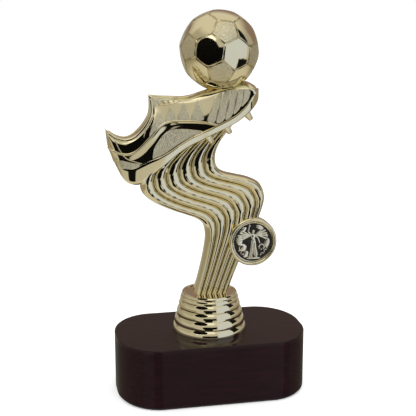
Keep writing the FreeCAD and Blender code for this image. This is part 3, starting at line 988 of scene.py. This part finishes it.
right = Vector((math.cos(camera_azimuth), math.sin(camera_azimuth), 0))
back = Vector((math.sin(camera_azimuth) * math.cos(camera_elevation),
               -math.cos(camera_azimuth) * math.cos(camera_elevation), math.sin(camera_elevation)))
camera_data = bpy.data.cameras.new("camera")
camera_data.lens = camera_lens
camera_data.sensor_width = 36.0
camera_data.clip_end = 50.0
camera = bpy.data.objects.new("camera", camera_data)
camera.location = right * target_right + Vector((0, 0, target_height)) + back * camera_distance
camera.rotation_euler = (math.pi / 2 - camera_elevation, 0, camera_azimuth)
bpy.context.scene.collection.objects.link(camera)
bpy.context.scene.camera = camera



def stage_piece(name, form, material):
    """Something that stands round the object and isn't part of it."""
    mesh = bpy.data.meshes.new(name)
    form.to_mesh(mesh)
    form.free()
    mesh.materials.append(material)
    thing = bpy.data.objects.new(name, mesh)
    bpy.context.scene.collection.objects.link(thing)
    return thing


floor_form = bmesh.new()
bmesh.ops.create_grid(floor_form, x_segments=1, y_segments=1, size=3.0)
floor_material, _, floor_shader, _ = new_material("pale_table")
floor_shader.inputs["Base Color"].default_value = (0.93, 0.93, 0.93, 1)
floor_shader.inputs["Roughness"].default_value = 0.9
floor_shader.inputs["Emission Color"].default_value = (1, 1, 1, 1)
floor_shader.inputs["Emission Strength"].default_value = 0.3
floor = stage_piece("floor", floor_form, floor_material)
floor.visible_glossy = False

world = bpy.data.worlds.new("light_tent")
bpy.context.scene.world = world
world.use_nodes = True
sky = world.node_tree
sky.nodes.clear()


def sky_math(operation, first, second=None, third=None):
    node = sky.nodes.new("ShaderNodeMath")
    node.operation = operation
    for socket, value in zip(node.inputs, (first, second, third)):
        if value is None:
            continue
        if isinstance(value, (int, float)):
            socket.default_value = value
        else:
            sky.links.new(value, socket)
    return node.outputs[0]


direction = sky.nodes.new("ShaderNodeTexCoord").outputs["Generated"]
split = sky.nodes.new("ShaderNodeSeparateXYZ")
sky.links.new(direction, split.inputs[0])
# bearings round the object, in degrees: 0 is towards the camera, positive to its right
cosine, sine = math.cos(camera_azimuth), math.sin(camera_azimuth)
to_right = sky_math("ADD", sky_math("MULTIPLY", split.outputs["X"], cosine),
                    sky_math("MULTIPLY", split.outputs["Y"], sine))
to_camera = sky_math("SUBTRACT", sky_math("MULTIPLY", split.outputs["X"], sine),
                     sky_math("MULTIPLY", split.outputs["Y"], cosine))
bearing = sky_math("MULTIPLY", sky_math("ARCTAN2", to_right, to_camera), 180 / math.pi)
rise = sky_math("MULTIPLY", sky_math("ARCSINE", split.outputs["Z"]), 180 / math.pi)
# the people and things round the tent have uneven outlines
unevenness = sky.nodes.new("ShaderNodeTexNoise")
unevenness.inputs["Scale"].default_value = 5.0
unevenness.inputs["Detail"].default_value = 4.0
sky.links.new(direction, unevenness.inputs["Vector"])
sway_degrees = 6.0
sway = sky_math("MULTIPLY", sky_math("SUBTRACT", unevenness.outputs["Fac"], 0.5), sway_degrees)
bearing = sky_math("ADD", bearing, sway)
rise = sky_math("ADD", rise, sway)


def ease_between(value, low, high, soft):
    """One between two limits and nought outside them, with soft edges."""
    sides = []
    for limit in (low, high):
        side = sky.nodes.new("ShaderNodeMapRange")
        side.interpolation_type = "SMOOTHSTEP"
        sky.links.new(value, side.inputs["Value"])
        side.inputs["From Min"].default_value = limit - soft / 2
        side.inputs["From Max"].default_value = limit + soft / 2
        sides.append(side.outputs[0])
    return sky_math("MULTIPLY", sides[0], sky_math("SUBTRACT", 1.0, sides[1]))


tent = sky.nodes.new("ShaderNodeRGB")
tent.outputs[0].default_value = (0.56, 0.54, 0.48, 1)
shade = tent.outputs[0]
# (bearing from, to, rise from, to, softness, colour)
tent_panels = [
    (-190, -100, -95, 95, 30, (0.42, 0.40, 0.35)),
    (100, 190, -95, 95, 30, (0.42, 0.40, 0.35)),
    (-190, -120, 9, 60, 8, (0.27, 0.20, 0.165)),
    (120, 190, 9, 60, 8, (0.27, 0.20, 0.165)),
    (-190, 190, 36, 110, 24, (0.72, 0.69, 0.60)),
    (-105, -62, 16, 50, 14, (0.44, 0.41, 0.33)),
    (35, 75, 50, 82, 14, (0.45, 0.42, 0.35)),
    (-145, -48, -34, -4, 10, (0.34, 0.30, 0.21)),
    (84, 145, -34, -4, 10, (0.30, 0.26, 0.18)),
    (-190, 190, -110, -34, 16, (0.64, 0.60, 0.49)),
    (27, 59, -44, -12, 3, (0.66, 0.72, 0.84)),
    (27, 78, -14, 40, 3, (0.66, 0.72, 0.84)),
    (-41, -17, 20, 74, 6, (1.5, 1.5, 1.4)),
    (-14, 20, 32, 60, 8, (1.0, 1.0, 0.93)),
    (-20, 25.5, -14, 9, 2, (0.004, 0.004, 0.004)),
    (-15, 12, -33, -12, 3, (0.006, 0.006, 0.006)),
    (60, 82, -62, -15, 2, (0.008, 0.008, 0.008)),
    (80, 104, 8, 50, 3, (0.01, 0.01, 0.01)),
]
for low, high, bottom, top, soft, colour in tent_panels:
    mask = sky_math("MULTIPLY", ease_between(bearing, low, high, soft),
                    ease_between(rise, bottom, top, soft))
    mix = sky.nodes.new("ShaderNodeMix")
    mix.data_type = "RGBA"
    sky.links.new(mask, mix.inputs["Factor"])
    sky.links.new(shade, mix.inputs["A"])
    mix.inputs["B"].default_value = (*colour, 1)
    shade = mix.outputs["Result"]
tent_light = sky.nodes.new("ShaderNodeBackground")
sky.links.new(shade, tent_light.inputs["Color"])
plain_white = sky.nodes.new("ShaderNodeBackground")
plain_white.inputs["Color"].default_value = (1, 1, 1, 1)
rays = sky.nodes.new("ShaderNodeLightPath")
either = sky.nodes.new("ShaderNodeMixShader")
plainly_lit = sky_math("MAXIMUM", rays.outputs["Is Camera Ray"], rays.outputs["Is Diffuse Ray"])
sky.links.new(plainly_lit, either.inputs[0])
sky.links.new(tent_light.outputs[0], either.inputs[1])
sky.links.new(plain_white.outputs[0], either.inputs[2])
sky_output = sky.nodes.new("ShaderNodeOutputWorld")
sky.links.new(either.outputs[0], sky_output.inputs["Surface"])

# a black flag by the ball, seen only in the gilding
flag_bearing = camera_azimuth - math.radians(32.0)
flag_distance = 0.20
flag_radius = 0.094
flag_form = bmesh.new()
bmesh.ops.create_circle(flag_form, cap_ends=True, segments=16, radius=flag_radius)
bmesh.ops.scale(flag_form, vec=(1.0, 1.05, 1), verts=flag_form.verts)
flag_way = Vector((math.sin(flag_bearing), -math.cos(flag_bearing), 0.0))
flag_place = ball_centre * mm + flag_way * flag_distance
flag_turn = (ball_centre * mm - flag_place).to_track_quat("Z", "Y").to_matrix().to_4x4()
bmesh.ops.transform(flag_form, matrix=Matrix.Translation(flag_place) @ flag_turn, verts=flag_form.verts)
flag_material, _, flag_shader, _ = new_material("black_cloth")
flag_shader.inputs["Base Color"].default_value = (0.003, 0.003, 0.003, 1)
flag_shader.inputs["Roughness"].default_value = 1.0
flag_shader.inputs["Specular IOR Level"].default_value = 0.0
flag = stage_piece("black_flag", flag_form, flag_material)
flag.visible_camera = False
flag.visible_diffuse = False
flag.visible_shadow = False


def softbox(name, location, size, power):
    lamp = bpy.data.lights.new(name, "AREA")
    lamp.size = size
    lamp.energy = power
    box = bpy.data.objects.new(name, lamp)
    box.location = location
    box.visible_glossy = False
    box.rotation_euler = (Vector((0, 0, 0.1)) - Vector(location)).to_track_quat("-Z", "Y").to_euler()
    bpy.context.scene.collection.objects.link(box)


softbox("top_softbox", (0.1, -0.2, 1.2), 0.9, 4)
bpy.context.scene.view_settings.view_transform = "Standard"
